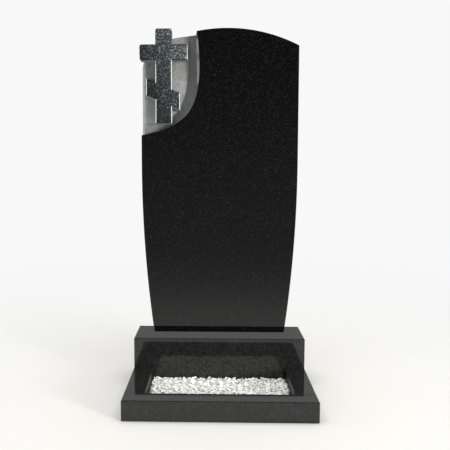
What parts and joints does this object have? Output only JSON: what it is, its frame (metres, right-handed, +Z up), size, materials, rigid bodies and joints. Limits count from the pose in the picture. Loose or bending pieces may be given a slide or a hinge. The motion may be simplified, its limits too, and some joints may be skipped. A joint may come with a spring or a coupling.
{
  "type": "headstone",
  "caption": "Upright granite headstone with an arched top, a corner niche holding a carved cross, a stand and a kerbed bed of marble chips.",
  "frame": {"origin": "on the ground, at the middle of the whole footprint of stand and kerb", "axes": "+Z up along the headstone's height, -Y out of the polished face, +X to the right of someone who looks at that face"},
  "size_m": [0.55, 0.455, 1.1503],
  "materials": {
    "polished_granite": "mirror polished with a fine dark grain; ground matt grey inside the niche, fine pointed and glittering on the cross",
    "marble_chips": "broken chips, matt with some sparkle"
  },
  "bodies": {
    "root": {"stele": "polished_granite", "stand": "polished_granite", "front_kerb_bar": "polished_granite", "left_kerb_bar": "polished_granite", "right_kerb_bar": "polished_granite", "marble_chips": "marble_chips"}
  },
  "joints": []
}
